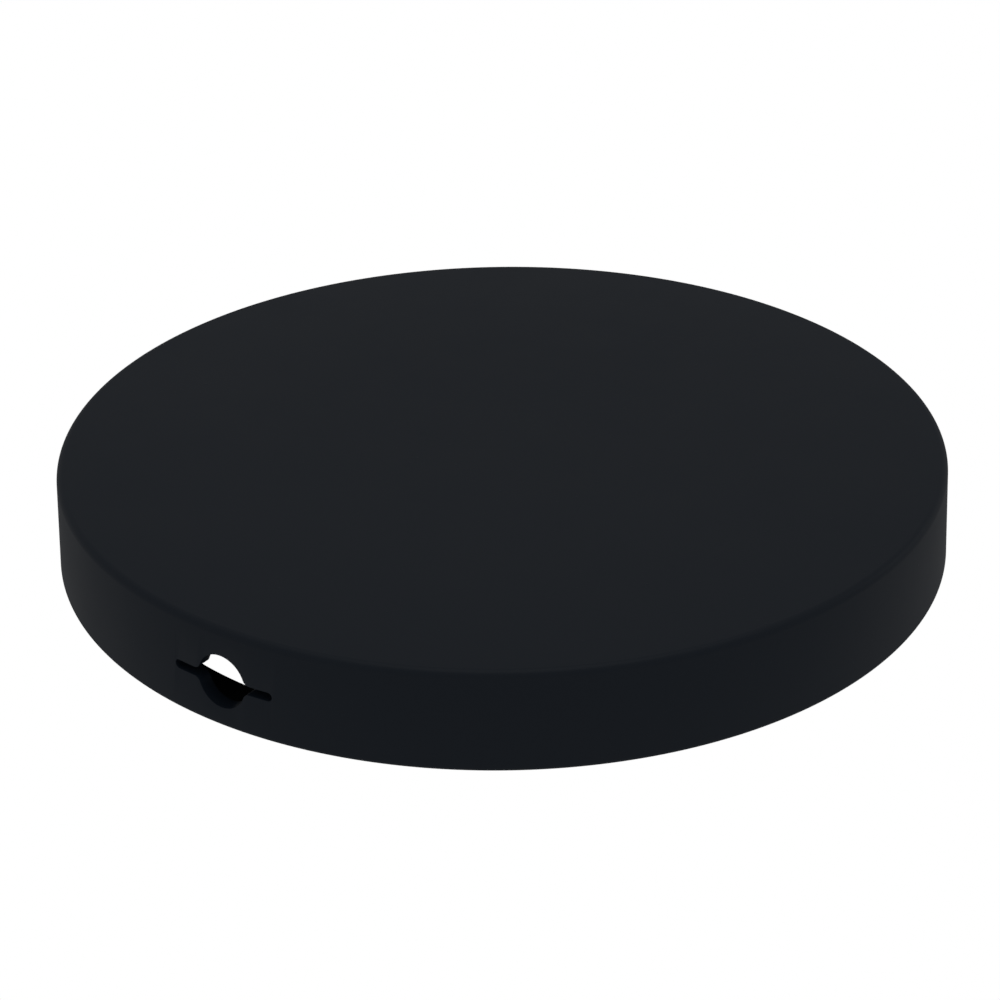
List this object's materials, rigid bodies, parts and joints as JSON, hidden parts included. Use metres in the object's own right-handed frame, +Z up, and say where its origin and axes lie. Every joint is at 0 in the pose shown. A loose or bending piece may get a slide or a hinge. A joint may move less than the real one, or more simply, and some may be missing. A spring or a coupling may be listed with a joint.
{
  "type": "wireless charging pad",
  "caption": "Round matte wireless charging pad: soft cup-shaped cover with a slitted cable port, an electronics hub and an open channel for the wound cable.",
  "frame": {"origin": "centre of the circle that the pad stands on, at table height", "axes": "+Z up out of the charging face, -Y out of the cable port in the side wall"},
  "size_m": [0.1, 0.1, 0.0116],
  "materials": {
    "soft_cover": "matte blue-black moulded silicone with a very fine grain",
    "adhesive_film": "clear film with pressure-sensitive adhesive",
    "dark_plastic": "black moulded plastic, fine spark-eroded texture",
    "foot_rubber": "dark grey anti-slip silicone",
    "screw_steel": "black zinc plated steel",
    "insert_brass": "turned brass",
    "copper_winding": "enamelled copper litz",
    "lead_enamel": "enamelled copper litz, tinned at the ends",
    "ferrite": "sintered ferrite, dark grey",
    "carrier_plastic": "natural white moulded plastic",
    "board_laminate": "green solder mask on glass laminate",
    "socket_steel": "nickel plated steel",
    "socket_insulator": "black glass-filled plastic",
    "contact_gold": "gold flashed contacts",
    "chip_resin": "black moulding resin",
    "crystal_can": "plated metal lid",
    "capacitor_ceramic": "tan sintered ceramic",
    "inductor_core": "pressed iron powder, grey",
    "shield_tin": "tinned steel sheet",
    "pad_silicone": "soft thermal silicone",
    "sensor_glass": "black epoxy bead"
  },
  "bodies": {
    "root": {"silicone_cover": "soft_cover", "cover_adhesive": "adhesive_film", "top_plate": "dark_plastic", "retaining_ring": "dark_plastic", "hub_case": "dark_plastic", "foot_ring": "foot_rubber", "case_screws": "screw_steel", "threaded_inserts": "insert_brass", "transmitter_coil": "copper_winding", "coil_leads": "lead_enamel", "coil_film": "adhesive_film", "ferrite_plate": "ferrite", "coil_carrier": "carrier_plastic", "coil_thermistor": "sensor_glass", "circuit_board": "board_laminate", "socket_shell": "socket_steel", "socket_tongue": "socket_insulator", "socket_contacts": "contact_gold", "controller_chip": "chip_resin", "protocol_chip": "chip_resin", "bridge_transistors": "chip_resin", "crystal": "crystal_can", "resonant_capacitors": "capacitor_ceramic", "input_capacitors": "capacitor_ceramic", "power_inductor": "inductor_core", "sense_resistor": "chip_resin", "small_passives": "capacitor_ceramic", "shield_can": "shield_tin", "thermal_pad": "pad_silicone"}
  },
  "joints": []
}
